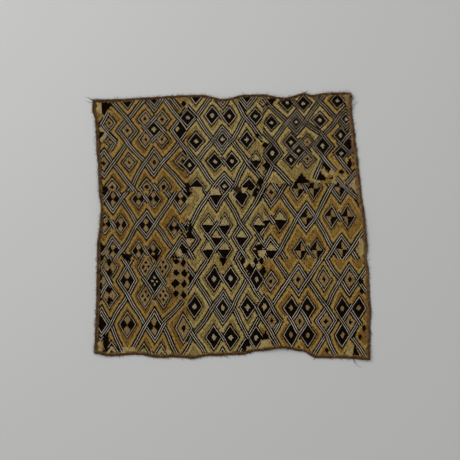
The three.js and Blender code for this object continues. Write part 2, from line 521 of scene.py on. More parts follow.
# Plain patches of pile, without outlines: colour, then column, row, half width and half height of each
PATCHES = [
    ("black", (91.5, 10.5, 3, 3.5), (13, 96.5, 3.5, 4.6), (165.5, 42.5, 2.2, 3.2), (173, 52, 3.8, 3.8),
     (175, 72.5, 4.2, 5.4), (168, 89, 4, 5.5), (96.5, 100, 3.6, 4.6), (96, 93, 2.6, 4.5),
     (10, 153, 3.6, 3.8), (98, 135, 2.8, 7.5), (98, 185, 2.6, 6), (91.8, 169, 3.1, 4.8),
     (92.2, 179.7, 3.8, 5.3), (92, 191, 3.3, 4.9), (91.8, 202, 3, 4.3), (84.5, 168, 4, 3.6),
     (84.2, 179.5, 3.7, 3.6), (83.3, 190.5, 5, 5.2), (84.5, 200.5, 3.3, 3.9)),
    ("straw", (154.5, 170, 3.4, 5), (160.5, 169, 3, 4.4), (167.5, 172, 3, 5)),
    ("black", (150.5, 168, 3.2, 5), (157.5, 175, 4, 5.5), (163.5, 167, 2.6, 3.8), (170, 168, 2.8, 4.2),
     (171.5, 177.5, 3.3, 5.2)),
    ("straw", (239.5, 79.5, 3.1, 3.4)),
    ("black", (249.5, 78.5, 3.6, 2.8)),
    ("tan", (252.5, 82, 3.2, 3)),
    ("black", (269.3, 187.5, 2.8, 3.5), (270, 197.5, 2.8, 3.8), (235, 257, 2.2, 3.6)),
    ("tan", (14.5, 158, 3.4, 3.2)),
    ("black", (272, 235, 2.3, 4.6), (268.5, 243.5, 2.5, 3.5)),
]

# Patches cut off where one area runs into the next: colour, then column and row of each corner
OFFCUTS = [
    ("straw", (2.5, 9), (9, 9), (12, 25), (4, 16)),
    ("black", (10, 10), (15, 8), (20, 13), (14.5, 19), (10, 22)),
    ("straw", (5, 34), (9, 34), (15, 41), (10, 49), (5, 49)),
    ("black", (5, 37), (13.5, 39.5), (8, 46), (5.5, 43)),
    ("tan", (86, 4), (97, 3), (97, 12), (94, 15)),
    ("black", (176, 6), (183, 4.5), (183, 8), (178, 10)),
    ("black", (173, 10), (178, 10), (175, 14)),
    ("tan", (252, 2), (257, 2), (258, 13), (254, 12)),
    ("black", (210, 79), (218, 89.5), (202, 89.5)),
    ("gold_middle", (166, 4), (170, 4), (170, 14), (164, 13), (159, 19), (156.5, 17)),
    ("gold_middle", (139, 3), (147, 3), (146, 12), (143.5, 11)),
    ("black", (229.5, 70), (233, 68.5), (240, 76.5), (236.5, 79)),
    ("straw", (228.5, 76.5), (231, 74.5), (236.5, 81), (234, 84.5)),
    ("black", (225, 85), (229, 79), (233.5, 84.5), (233, 87), (226, 87)),
    ("black", (235, 85.5), (237, 81), (240, 83.5), (243, 82), (243, 86.5)),
    ("straw", (238, 89), (242, 85), (247, 86), (244, 91)),
    ("black", (245, 86), (248, 86), (251, 91), (247, 92)),
    ("straw", (262, 84), (264.5, 88), (265, 100), (258, 92)),
    ("black", (253, 50), (259, 54), (257, 57)),
    ("black", (256, 67), (259, 65), (260, 72), (258, 75), (255, 72)),
    ("tan", (261, 68), (264, 68), (264, 75), (261, 74)),
    ("straw", (103, 96.5), (109, 96), (111.5, 104), (108, 106)),
    ("straw", (119, 96), (126, 96), (128, 102), (117.5, 102)),
    ("straw", (149.5, 95), (156, 94.5), (153, 100), (150, 100)),
    ("brown", (139, 94), (149, 94), (149, 99), (144, 99)),
    ("black", (163, 95), (168, 94.5), (163.5, 103.5), (160, 103.5)),
    ("straw", (95, 104), (101, 104), (101, 110), (94, 110)),
    ("straw", (137, 99), (139.5, 98), (144.5, 107), (141, 110)),
    ("straw", (165, 157), (174, 157), (171, 164.5), (167, 163)),
    ("black", (163, 151.5), (171.5, 151.5), (170, 156.5), (164, 156.5)),
    ("black", (174, 160), (183, 160), (182, 164.5), (175, 164)),
    ("straw", (266.5, 146), (271, 145), (271.5, 162), (266.5, 162)),
    ("black", (7, 159), (12, 163), (11, 168), (7, 167)),
    ("black", (30.5, 160.5), (42, 160.5), (36.5, 168.5)),
    ("black", (59, 161), (69, 161), (64, 168.5)),
    ("black", (79, 162), (86, 164), (86, 170), (81, 168)),
    ("black", (88, 154), (92, 152), (96, 159), (94, 162)),
    ("straw", (83, 158), (88, 155), (91, 161), (86, 163)),
    ("black", (127, 165), (135.5, 165), (131.2, 174)),
    ("tan", (82, 165), (96, 165), (96, 204), (88, 207), (78, 192)),
    ("straw", (4, 245), (10, 249), (10.5, 260), (3, 260)),
    ("black", (12, 243), (17, 236), (17, 252), (14, 260), (11.5, 252)),
    ("straw", (30, 254), (43, 254), (43, 260), (30, 260)),
    ("straw", (76, 252), (82, 262), (78, 264), (74, 258)),
    ("black", (170, 246), (173.5, 237), (178, 246)),
    ("straw", (170, 247), (179, 247), (179, 253), (168, 254)),
    ("black", (151, 250), (157, 245), (159, 257), (150, 260)),
    ("straw", (155, 254), (159, 253), (161, 257), (155, 259)),
    ("gold_right", (267, 233), (274, 229), (274, 262), (268, 252), (263.5, 243)),
    ("straw", (258, 250), (261, 254), (260, 264), (251, 264)),
    ("black", (262, 250), (265, 257), (269, 264), (260.5, 264)),
]

# Ribbons that cross the last corners on top of their patches
LAST_RIBBONS = [(260.5, 244, 274, 264), (163, 110, 172, 94), (244, 85, 266, 106)]

everywhere = {"limits": (0, 280, 0, 270), "faded": 0.05}


def inset_size(half, depth):
    """A diamond's half sizes once its sides have moved in by depth."""
    width, height = half
    slant = math.hypot(width, height)
    return width - depth * slant / height, height - depth * slant / width


def charted(shape, at, area, **rest):
    """One figure of the chart, cut off at the limits of its area and faded as that is."""
    return {"shape": shape, "at": at, "limits": area["limits"], "faded": area["faded"], **rest}


def diamond(at, half, filling, area, lines=OUTLINE_LINES, line_row=None):
    """A diamond with its outline, which is finer round the fillings that leave it least room."""
    usual_row = THIN_ROW if filling in THIN_FILLINGS else OUTLINE_ROW
    line_row = line_row or usual_row
    return charted("diamond", at, area, half=half, lines=lines, line_row=line_row, filling=filling)


def knot(at, half, filling, area):
    """A diamond drawn by the ribbon itself, whose middle line runs at the half sizes given."""
    outside = inset_size(half, -RIBBON_ROW * len(RIBBON_LINES) / 2)
    return diamond(at, outside, filling, area, RIBBON_LINES, RIBBON_ROW)


def ribbon(start, end, area):
    """A straight run of ribbon, which lies over whatever was charted before it."""
    return charted("ribbon", start, area, end=end, lines=RIBBON_LINES, line_row=RIBBON_ROW)


def offcut(colour, corners):
    """A plain patch of pile with straight edges."""
    middle = tuple(np.mean(corners, axis=0))
    return charted("offcut", middle, everywhere, corners=np.array(corners, float), lines=(), filling=colour)


def crossing(at, rising, half, area):
    """The ribbon on top where two cross: it rises to the right, or falls."""
    run = np.array((half[0], -half[1] if rising else half[1]))
    reach = run / np.linalg.norm(run) * CROSSING_REACH
    return ribbon(tuple(at - reach), tuple(at + reach), area)


def area_figures(area):
    """The ribbons of one area, its diamonds and its crossings, in the order in which they are covered."""
    columns, rows = area["columns"], area["rows"]
    points = [line.split() for line in area["points"]]
    knot_half, single, moved = area["knot"], area["single"], area["moved"]
    spacing = (single[0] - SHARED[0], single[1] - SHARED[1])
    lean = knot_half[1] / knot_half[0]
    ribbons, made, crossings = [], [], []

    def middle(column, row):
        """Chart place of a lattice point, with its drift."""
        drift = moved.get((row, column), (0, 0))
        return columns[column] + drift[0], rows[row] + drift[1]

    def vertex(column, row, turn_x, turn_y):
        """Where a ribbon leaves a lattice point towards one of its four diagonals."""
        kind = points[row][column][0]
        x, y = middle(column, row)
        reach_x = knot_half[0] * turn_x if kind == "H" else 0
        reach_y = knot_half[1] * turn_y if kind == "V" else 0
        return x + reach_x, y + reach_y

    for row, column in np.ndindex(len(rows), len(columns)):
        kind, filling = points[row][column][0], points[row][column][1:]
        x, y = middle(column, row)
        if kind in "HVXY":
            for turn_x, turn_y in ((1, 1), (1, -1), (-1, 1), (-1, -1)):
                start = vertex(column, row, turn_x, turn_y)
                across, down = column + turn_x, row + turn_y
                inside = 0 <= across < len(columns) and 0 <= down < len(rows)
                if inside and points[down][across][0] in "HVXY" and turn_x == 1:
                    ribbons.append(ribbon(start, vertex(across, down, -1, -turn_y), area))
                if not inside and (row, column, turn_x, turn_y) not in area.get("missing", ()):
                    end = (start[0] + turn_x * STUB_REACH, start[1] + turn_y * STUB_REACH * lean)
                    ribbons.append(ribbon(start, end, area))
        if kind in "HV":
            made.append(knot((x, y), knot_half, filling, area))
            if kind == "H" and filling in "ek":
                nested = inset_size(knot_half, RIBBON_ROW * len(RIBBON_LINES) / 2)
                made.append(diamond((x, y), nested, filling, area, NESTED_LINES))
            for turn in (-1, 1):
                side = (turn * knot_half[0], 0) if kind == "H" else (0, turn * knot_half[1])
                crossings.append(crossing((x + side[0], y + side[1]), kind == "H", knot_half, area))
        if kind in "XY":
            crossings.append(crossing((x, y), kind == "Y", knot_half, area))
        if kind == "B":
            made.append(diamond((x, y), single, filling, area))
        if kind == "A":
            for turn, letter in zip((-1, 1), filling):
                made.append(diamond((x + turn * spacing[0], y), single, letter, area))
            crossings.append(crossing((x, y), False, single, area))
        if kind == "C":
            for turn_x, letter in zip((-1, 1), filling):
                for turn_y in (-1, 1):
                    corner = (x + turn_x * spacing[0], y + turn_y * spacing[1])
                    made.append(diamond(corner, single, letter, area))
            made.append(knot((x, y), spacing, filling[2], area))
            for turn in (-1, 1):
                crossings.append(crossing((x, y + turn * spacing[1]), True, spacing, area))
                crossings.append(crossing((x + turn * spacing[0], y), False, spacing, area))
    ribbons.sort(key=lambda one: (one["at"][0] < one["end"][0]) == (one["at"][1] < one["end"][1]))
    return ribbons + made + crossings


# All figures in working order, each on top of those before it
figures = []
for area in AREAS.values():
    figures += area_figures(area)
figures += [diamond((column, row), half, filling, everywhere) for column, row, *half, filling in BETWEEN]
figures += [ribbon((column, row), end, everywhere) for column, row, *end in STRAYS]
figures += [offcut(colour, corners) for colour, *corners in OFFCUTS]
for colour, *patches in PATCHES:
    figures += [diamond((column, row), half, colour, everywhere, ()) for column, row, *half in patches]
figures += [ribbon((column, row), end, everywhere) for column, row, *end in LAST_RIBBONS]


def gap(figure, places):
    """How far chart places lie outside a figure, in rows; inside it the value is below zero."""
    off = places - np.array(figure["at"])
    if figure["shape"] == "diamond":
        width, height = figure["half"]
        over = np.abs(off[:, 0]) / width + np.abs(off[:, 1]) / height - 1
        return over * width * height / math.hypot(width, height)
    if figure["shape"] == "offcut":
        corners = figure["corners"]
        edges = np.roll(corners, -1, axis=0) - corners
        outward = np.stack([edges[:, 1], -edges[:, 0]], 1) / np.linalg.norm(edges, axis=1, keepdims=True)
        beyond = ((places[:, None] - corners) * outward).sum(2)
        inward_turn = np.sign(((figure["at"] - corners) * outward).sum())
        return (beyond * -inward_turn).max(1)
    run = np.array(figure["end"], float) - np.array(figure["at"])
    length = np.linalg.norm(run)
    along = off @ run / length
    aside = np.abs(off[:, 0] * run[1] - off[:, 1] * run[0]) / length
    return np.maximum(aside - len(RIBBON_LINES) * RIBBON_ROW / 2, np.maximum(-along, along - length))


def with_reach(places):
    """Each figure with its number and the indices of the chart places in its area."""
    x, y = places.T
    inside = {}
    for number, figure in enumerate(figures):
        left, right, top, bottom = limits = figure["limits"]
        if limits not in inside:
            inside[limits] = np.flatnonzero((x >= left) & (x < right) & (y >= top) & (y < bottom))
        yield number, figure, inside[limits]


def owners(places):
    """For each chart place the number of the figure on top there, or -1."""
    top = np.full(len(places), -1)
    for number, figure, here in with_reach(places):
        top[here[gap(figure, places[here]) <= 0]] = number
    return top


# Lines worked by eye waver to each side by about this many rows, in two kinds of bend
WAVER = 0.32
SECOND_BEND = 0.7


def to_cloth(places):
    """Chart places as centred x and y in millimetres, wavering as freehand lines do."""
    column, row = places.T
    bend = np.sin(row / 4.1 + column / 13) + SECOND_BEND * np.sin(row / 9.7 - column / 5.2)
    column = column + WAVER * bend
    bend = np.sin(column / 3.9 - row / 11) + SECOND_BEND * np.sin(column / 8.3 + row / 6.1)
    row = row + WAVER * bend
    x = (column - CHART_MIDDLE[0]) * STITCH_ROW
    y = (CHART_MIDDLE[1] - row) * STITCH_ROW
    return np.stack([x, y], 1) - CENTRE


# The embroidery stops short of the edge by these millimetres, a little unevenly
BORDERS = {"top": 6.6, "right": 9.5, "bottom": 7.4, "left": 8.0}
BORDER_WANDER = 1.2


def in_field(cloth_places, slack=0):
    """Which centred places lie in the embroidered field, less slack millimetres all round."""
    x, y = cloth_places.T
    edge = {side: (line - CENTRE).T for side, line in EDGE.items()}
    inset = {
        "top": np.interp(x, *edge["top"]) - y,
        "bottom": y - np.interp(x, *edge["bottom"][:, ::-1]),
        "right": np.interp(y, *edge["right"][::-1, ::-1]) - x,
        "left": x - np.interp(y, *edge["left"][::-1]),
    }
    wander = BORDER_WANDER * (np.sin(x / 5.3) + np.sin(y / 6.7) + np.sin((x + y) / 2.9))
    return np.all([inset[side] > width + wander + slack for side, width in BORDERS.items()], axis=0)


def ground_height(cloth_places):
    """Height of the ground's face under centred places."""
    x, y = (cloth_places + CENTRE).T
    return lift(x, y) + GROUND_THICKNESS


# Stem stitch.
# The ribbons and outlines are rows of stem stitch, each a strand of raffia laid over a few strips
# of the ground and brought up again half way back, so that a row looks like a thin twisted cord.
STITCH_LENGTH = 5.0
STITCH_STEP = 2.7
STITCH_TOP = 1.15
STITCH_SLANT = 0.12
STITCH_SHARE = {"dark": 1.2, "light": 0.37}
SMALLEST_OUTLINE = 0.5

# No two stitches are alike: their spread in place and angle, and their shares of the sizes above
STITCH_SPREAD = 0.12
STITCH_TURN = 0.07
STITCH_LENGTHS = (0.85, 1.1)
STITCH_WIDTHS = (0.85, 1.15)
STITCH_HEIGHTS = (0.8, 1.15)

# Stitches and tufts come up from this far down in the weave
ROOT_DEPTH = 0.1

# Each line's tone, how far full fading moves it, and how whole figures and single strands differ
LINE_TONES = {"dark": 0.15, "light": 0.85}
FADING = {"dark": 0.5, "light": -0.5}
FIGURE_TONE_SPREAD = 0.12
STRAND_TONE_SPREAD = 0.1

chance = np.random.default_rng(7)


def joined(name, corners, faces, tones, material):
    """Many copies of one small form as a single mesh: corners is copies x points x 3, in millimetres.
    Each copy has a tone of its own, and the whole a map as seen from above."""
    copies, points = corners.shape[:2]
    sizes = np.array([len(face) for face in faces])
    one_copy = np.concatenate([np.array(face) for face in faces])
    loops = (one_copy + np.arange(copies)[:, None] * points).reshape(-1)
    starts = (np.arange(copies)[:, None] * sizes.sum() + np.cumsum(sizes) - sizes).reshape(-1)
    data = bpy.data.meshes.new(name)
    data.vertices.add(copies * points)
    data.vertices.foreach_set("co", (corners.reshape(-1) * MM).astype(np.float32))
    data.loops.add(len(loops))
    data.loops.foreach_set("vertex_index", loops.astype(np.int32))
    data.polygons.add(copies * len(faces))
    data.polygons.foreach_set("loop_start", starts.astype(np.int32))
    data.update(calc_edges=True)
    tone = data.attributes.new("own_tone", "FLOAT", "POINT")
    tone.data.foreach_set("value", np.repeat(tones, points).astype(np.float32))
    flat = corners.reshape(-1, 3)[:, :2]
    low, high = flat.min(0), flat.max(0)
    seen_from_above = (flat - low) / ((high - low).max() * 1.02) + 0.01
    uv = data.uv_layers.new(name="OFBake")
    uv.data.foreach_set("uv", seen_from_above[loops].reshape(-1).astype(np.float32))
    data.materials.append(material)
    return placed(name, data)


def row_of_stitches(start, end):
    """Chart places and the angle of the stitches along one straight row."""
    run = end - start
    count = max(1, round(np.linalg.norm(run) * STITCH_ROW / STITCH_STEP))
    share = (np.arange(count) + 0.5) / count
    return start + run * share[:, None], math.atan2(-run[1], run[0])


def rows_of(figure):
    """The rows of one figure: chart places, angle and colour of each."""
    at = np.array(figure["at"], float)
    for order, colour in enumerate(figure["lines"]):
        if figure["shape"] == "ribbon":
            end = np.array(figure["end"], float)
            run = (end - at) / np.linalg.norm(end - at)
            from_middle = order - len(RIBBON_LINES) // 2
            aside = np.array((-run[1], run[0])) * from_middle * figure["line_row"]
            yield *row_of_stitches(at + aside, end + aside), colour
            continue
        half_width, half_height = inset_size(figure["half"], (order + 0.5) * figure["line_row"])
        if min(half_width, half_height) > SMALLEST_OUTLINE:
            tips = at + np.array([(-half_width, 0), (0, -half_height), (half_width, 0), (0, half_height)])
            for start, end in zip(tips, np.roll(tips, -1, axis=0)):
                yield *row_of_stitches(start, end), colour


stitches = {"dark": [], "light": []}
for number, figure in enumerate(figures):
    figure_tone = chance.normal(0, FIGURE_TONE_SPREAD)
    for places, angle, colour in rows_of(figure):
        tone = LINE_TONES[colour] + figure_tone + FADING[colour] * figure["faded"]
        width = STITCH_SHARE[colour] * figure["line_row"] * STITCH_ROW
        for column, row in places:
            stitches[colour].append((column, row, angle, tone, number, width))

# A stitch is a low roof: six corners on the ground and a ridge of two points
STITCH_FORM = np.array(
    [
        (-0.5, 0, 0), (-0.33, -0.5, 0), (0.33, -0.5, 0), (0.5, 0, 0), (0.33, 0.5, 0), (-0.33, 0.5, 0),
        (-0.3, 0, 1), (0.3, 0, 1),
    ]
)
STITCH_FACES = [(0, 1, 6), (1, 2, 7, 6), (2, 3, 7), (3, 4, 7), (4, 5, 6, 7), (5, 0, 6)]


def stitch_piece(name, colour, material):
    """All the stitches of one colour, where no later figure covers them and the field has them."""
    table = np.array(stitches[colour])
    table = table[owners(table[:, :2]) == table[:, 4]]
    table = table[in_field(to_cloth(table[:, :2]))]
    count = len(table)
    cloth_places = to_cloth(table[:, :2]) + chance.normal(0, STITCH_SPREAD, (count, 2))
    angles = table[:, 2] + STITCH_SLANT + chance.normal(0, STITCH_TURN, count)
    length = STITCH_LENGTH * chance.uniform(*STITCH_LENGTHS, count)
    width = table[:, 5] * chance.uniform(*STITCH_WIDTHS, count)
    top = STITCH_TOP * chance.uniform(*STITCH_HEIGHTS, count)
    form = STITCH_FORM[None] * np.stack([length, width, top], 1)[:, None]
    cos, sin = np.cos(angles)[:, None], np.sin(angles)[:, None]
    x = form[:, :, 0] * cos - form[:, :, 1] * sin + cloth_places[:, :1]
    y = form[:, :, 0] * sin + form[:, :, 1] * cos + cloth_places[:, 1:]
    z = form[:, :, 2] + ground_height(cloth_places)[:, None] - ROOT_DEPTH
    tones = np.clip(table[:, 3] + chance.normal(0, STRAND_TONE_SPREAD, count), 0, 1)
    return joined(name, np.stack([x, y, z], 2), STITCH_FACES, tones, material)


# Strands steeped in a dark dye bath, which leaves them nearly black and dull
dark_raffia = fibre_material(
    "raffia dyed dark brown", ("#070403", "#170f0a", "#544438"), roughness=0.8, specular=0.02
)
dark_stitches = stitch_piece("dark_stem_stitch", "dark", dark_raffia)

# Strands of the young leaf, dried in the sun and not dyed
light_raffia = fibre_material("undyed raffia strand", ("#7f7262", "#baad98", "#ebe2cf"))
light_stitches = stitch_piece("light_stem_stitch", "light", light_raffia)

# Cut pile.
# Short strands are drawn under a single strip of the ground without a knot, cut a few millimetres
# above it and brushed out, so each stands as a small tuft of split fibres, held by the tight weave.
TUFT_PITCH = 1.9
TUFT_BASE = 1.6
TUFT_TIP = 1.1
TUFT_HEIGHT = 2.0
TUFT_SIDES = 3

# How tufts differ: shares of their width and height, lean, ragged top and tone
TUFT_SIZES = (0.85, 1.2)
TUFT_HEIGHTS = (0.72, 1.08)
TUFT_LEAN = 0.35
TUFT_RAGGED = 0.25
TUFT_TONE_SPREAD = 0.16

# The tufts' grid: first and last column and row, how far tufts stray from it, and how far they may
# stand past the field
GRID_COLUMNS = (-4, 286)
GRID_ROWS = (-4, 274)
GRID_STRAY = 0.28
GRID_OVERHANG = 0.5

# Tufts spread as they are brushed out, so the pile begins this many rows beside a line
PILE_CLEARANCE = 0.38
SMALLEST_FILLING = 0.3


def spots(colour, half_width, half_height, *places):
    """Parts of one colour and size at several places."""
    return [(colour, across, down, half_width, half_height) for across, down in places]


# Each filling's ground colour and the parts on it, as shares of the space inside the outline: colour,
# across, down, half width, half height. Any other filling is one plain colour.
FILLINGS = {
    "e": ("black", ("pale", 0, 0, 0.45, 0.4)),
    "j": ("black", ("tan", 0, 0, 0.44, 0.38)),
    "E": ("black", ("straw", 0, 0, 0.6, 0.52)),
    "k": ("black",),
    "s": ("straw",),
    "d": ("tan", ("black", 0, 0, 0.4, 0.38)),
    "D": ("tan", ("black", 0, 0, 0.55, 0.5)),
    "l": ("black", ("straw", -0.55, -0.2, 0.5, 0.4)),
    "p": ("tan", *spots("black", 0.56, 0.48, (-0.52, 0), (0.52, 0))),
    "r": ("tan", *spots("black", 0.46, 0.46, (0, -0.48), (0, 0.48))),
    "g": ("tan", *spots("black", 0.26, 0.22, (-0.42, 0), (0.42, 0), (0, -0.42), (0, 0.42))),
    "w": ("black", *spots("pale", 0.24, 0.18, (-0.4, 0), (0.4, 0), (0, -0.4), (0, 0.4))),
    "v": ("straw", ("black", 0, 0, 0.6, 0.6), ("tan", 0, 0, 0.3, 0.3)),
}

# Fillings in quarters: colours above left, above right, below left and below right
QUARTERS = {
    "t": ("straw", "straw", "black", "black"),
    "u": ("black", "black", "straw", "straw"),
    "q": ("black", "tan", "tan", "black"),
}

# The gold changes along wandering seams, where one dyeing of strands ran out and the next was begun
LEFT_SEAM = 96
RIGHT_SEAM = 173
UPPER_RIGHT_SEAM = 232
UPPER_RIGHT_END = 90
SEAM_WAVES = ((2.5, 9.0), (1.5, 3.7))

COLOURS = ("gold_left", "gold_middle", "gold_right", "black", "brown", "tan", "straw", "pale", "none")
KIND = {name: number for number, name in enumerate(COLOURS)}


def fill_kinds(figure, places):
    """The colour of the pile inside a figure at chart places on it, or none where stitches lie."""
    kinds = np.full(len(places), KIND["none"])
    if figure["shape"] == "ribbon":
        return kinds
    filling = figure["filling"]
    if figure["shape"] == "offcut":
        return np.full(len(places), KIND[filling])
    depth = len(figure["lines"]) * figure["line_row"] + (PILE_CLEARANCE if figure["lines"] else 0)
    half_width, half_height = inset_size(figure["half"], depth)
    if min(half_width, half_height) <= SMALLEST_FILLING:
        return kinds
    across = (places[:, 0] - figure["at"][0]) / half_width
    down = (places[:, 1] - figure["at"][1]) / half_height
    inside = np.abs(across) + np.abs(down) <= 1
    if filling in QUARTERS:
        quarter = (across >= 0) + 2 * (down >= 0)
        kinds[inside] = np.array([KIND[name] for name in QUARTERS[filling]])[quarter[inside]]
        return kinds
    ground_colour, *parts = FILLINGS.get(filling, (filling,))
    kinds[inside] = KIND[ground_colour]
    for colour, x, y, width, height in parts:
        kinds[inside & (np.abs(across - x) / width + np.abs(down - y) / height <= 1)] = KIND[colour]
    return kinds


columns = np.arange(*GRID_COLUMNS, TUFT_PITCH / STITCH_ROW)
rows = np.arange(*GRID_ROWS, TUFT_PITCH / STITCH_ROW)
grid = np.stack(np.meshgrid(columns, rows), 2).reshape(-1, 2)
grid = grid + chance.uniform(-GRID_STRAY, GRID_STRAY, grid.shape)
grid = grid[in_field(to_cloth(grid), -GRID_OVERHANG)]

seam_wander = sum(reach * np.sin(grid[:, 1] / length) for reach, length in SEAM_WAVES)
grid_kinds = np.full(len(grid), KIND["gold_middle"])
grid_kinds[grid[:, 0] + seam_wander < LEFT_SEAM] = KIND["gold_left"]
right_seam = np.where(grid[:, 1] < UPPER_RIGHT_END, UPPER_RIGHT_SEAM, RIGHT_SEAM)
grid_kinds[grid[:, 0] + seam_wander > right_seam] = KIND["gold_right"]

# Each tuft's distance from the nearest ribbon, from the nearest other figure and from any line
grid_owner = owners(grid)
ribbon_gap, figure_gap, line_gap = np.full((3, len(grid)), np.inf)
for number, figure, here in with_reach(grid):
    mine = np.flatnonzero(grid_owner == number)
    grid_kinds[mine] = fill_kinds(figure, grid[mine])
    gap_here = gap(figure, grid[here])
    nearest = ribbon_gap if figure["lines"] == RIBBON_LINES else figure_gap
    nearest[here] = np.minimum(nearest[here], gap_here)
    if figure["lines"]:
        line_gap[here] = np.minimum(line_gap[here], gap_here)
grid_kinds[(grid_owner < 0) & (line_gap < PILE_CLEARANCE)] = KIND["none"]

# The gold pile is worked in rows that follow the ribbons and the diamonds: bright beside a
# ribbon, then one reddish row, then ochre, which is duller close to a diamond
BRIGHT_FROM = 0.9
BRIGHT_ROWS = 2.9
REDDISH_ROWS = 3.9
DULL_ROWS = 1.6
USUAL, DULL, REDDISH, BRIGHT = 0.5, 0.36, 0.08, 0.92
gold_tone = np.full(len(grid), USUAL)
gold_tone[figure_gap < DULL_ROWS] = DULL
gold_tone[(ribbon_gap >= BRIGHT_ROWS) & (ribbon_gap < REDDISH_ROWS)] = REDDISH
gold_tone[(ribbon_gap > BRIGHT_FROM) & (ribbon_gap < BRIGHT_ROWS)] = BRIGHT


def pile_piece(kind, material):
    """All the tufts of one colour: short three-sided stumps, narrower and ragged at the top."""
    chosen = grid_kinds == KIND[kind]
    cloth_places = to_cloth(grid[chosen])
    count = len(cloth_places)
    corner_turns = np.arange(TUFT_SIDES) * 2 * math.pi / TUFT_SIDES
    turns = chance.uniform(0, 2 * math.pi, count)[:, None] + corner_turns
    size = chance.uniform(*TUFT_SIZES, count)[:, None]
    height = TUFT_HEIGHT * chance.uniform(*TUFT_HEIGHTS, count)[:, None]
    lean = chance.normal(0, TUFT_LEAN, (count, 2))
    ground_z = ground_height(cloth_places)[:, None]
    ragged = chance.uniform(-TUFT_RAGGED, TUFT_RAGGED, (count, TUFT_SIDES))
    corners = np.zeros((count, 2 * TUFT_SIDES, 3))
    for level, radius in enumerate((TUFT_BASE, TUFT_TIP)):
        part = slice(level * TUFT_SIDES, (level + 1) * TUFT_SIDES)
        corners[:, part, 0] = cloth_places[:, :1] + np.cos(turns) * radius * size + lean[:, :1] * level
        corners[:, part, 1] = cloth_places[:, 1:] + np.sin(turns) * radius * size + lean[:, 1:] * level
        corners[:, part, 2] = ground_z - ROOT_DEPTH + (height + ragged + ROOT_DEPTH) * level
    tones = gold_tone[chosen] if kind.startswith("gold") else np.full(count, USUAL)
    tones = np.clip(tones + chance.normal(0, TUFT_TONE_SPREAD, count), 0, 1)
    around = [(i + 1) % TUFT_SIDES for i in range(TUFT_SIDES)]
    faces = [(i, after, after + TUFT_SIDES, i + TUFT_SIDES) for i, after in enumerate(around)]
    faces.append(tuple(range(TUFT_SIDES, 2 * TUFT_SIDES)))
    return joined(kind + "_pile", corners, faces, tones, material)


# Split raffia with cut ends, dyed or left as it is, matt, and duller still where it is black
PILE_TONES = {
    "gold_left": ("reddish gold raffia pile", ("#704819", "#8f6f32", "#b89956")),
    "gold_middle": ("straw gold raffia pile", ("#7e6437", "#9f8950", "#c6b274")),
    "gold_right": ("gold raffia pile", ("#78521f", "#99783b", "#c0a25c")),
    "black": ("raffia pile dyed black", ("#0b0805", "#120d09", "#251b12")),
    "brown": ("raffia pile dyed brown", ("#23170e", "#35251a", "#4f3b2a")),
    "tan": ("tan raffia pile", ("#7a603d", "#9e8355", "#bfa470")),
    "straw": ("undyed straw raffia pile", ("#9d8654", "#b9a46d", "#d0bd8a")),
    "pale": ("undyed pale raffia pile", ("#94866a", "#b8aa8b", "#d8caa9")),
}
for kind, (finish, tones) in PILE_TONES.items():
    sheen = 0.0 if kind == "black" else 0.06
    raffia = fibre_material(finish, tones, roughness=0.8, depth=0.15, fibre=0.6, specular=sheen)
    pile_piece(kind, raffia)

# Whipping of the hem.
# A strand of raffia winds round the rolled edge, slanting, every few millimetres, and holds the
# roll down. It is flattened where it goes over the top and dark with handling.
WHIP_STEP = 4.2
WHIP_WIDTH = 1.5
WHIP_SLANT = 2.2
WHIP_PATH = [(0.1, 1.3), (0.9, 3.9), (2.6, 4.85), (4.4, 4.4), (5.9, 1.2)]

# The strand's corners: share of its width to each side, and height
WHIP_SECTION = ((-0.5, -0.35), (0, 0), (0.5, -0.35))

# How the turns differ: share of a step, shares of the width, pull inwards, height
WHIP_STRAY = 0.2
WHIP_WIDTHS = (0.6, 1.5)
WHIP_PULL = 0.35
WHIP_UNEVEN = 0.06

# No strand comes closer than this to the edge or to the surface that the cloth lies on
LEAST = 0.1

# The lightest tone of each side's strands
WHIP_TONES = {"top": 0.9, "right": 1.0, "bottom": 0.7, "left": 1.0}
SIDES = tuple(WHIP_TONES)


def at_side(side, share, inset):
    """Centred x and y at a share along one side, inset in millimetres from its edge."""
    inwards = inset / NOMINAL_SIDE
    across = {"left": inwards, "right": 1 - inwards}.get(side, share)
    up = {"bottom": inwards, "top": 1 - inwards}.get(side, share)
    return plan(across, up) - CENTRE


def strip_faces(points):
    """Faces of a strip that has three corners at each of its points."""
    firsts = [3 * step + lane for step in range(points - 1) for lane in range(2)]
    return [(first, first + 3, first + 4, first + 1) for first in firsts]


def whipping(side):
    """The turns round one side's hem, as flat straps along the path."""
    count = int(NOMINAL_SIDE / WHIP_STEP)
    share = (np.arange(count) + 0.5 + chance.uniform(-WHIP_STRAY, WHIP_STRAY, count)) / count
    width = WHIP_WIDTH * chance.uniform(*WHIP_WIDTHS, count)
    pull = chance.normal(0, WHIP_PULL, count)
    corners = []
    for step, (inset, height) in enumerate(WHIP_PATH):
        slant = (step / (len(WHIP_PATH) - 1) - 0.5) * WHIP_SLANT
        for edge, rise in WHIP_SECTION:
            shift = (slant + edge * width) / NOMINAL_SIDE
            deep = np.maximum(inset + pull, LEAST) * HEM_SHARE[side]
            place = at_side(side, np.clip(share + shift, 0, 1), deep)
            z = height + rise + lift(*(place + CENTRE).T) + chance.normal(0, WHIP_UNEVEN, count)
            corners.append(np.column_stack([place, np.maximum(z, LEAST)]))
    return np.stack(corners, 1)


whips = np.concatenate([whipping(side) for side in SIDES])

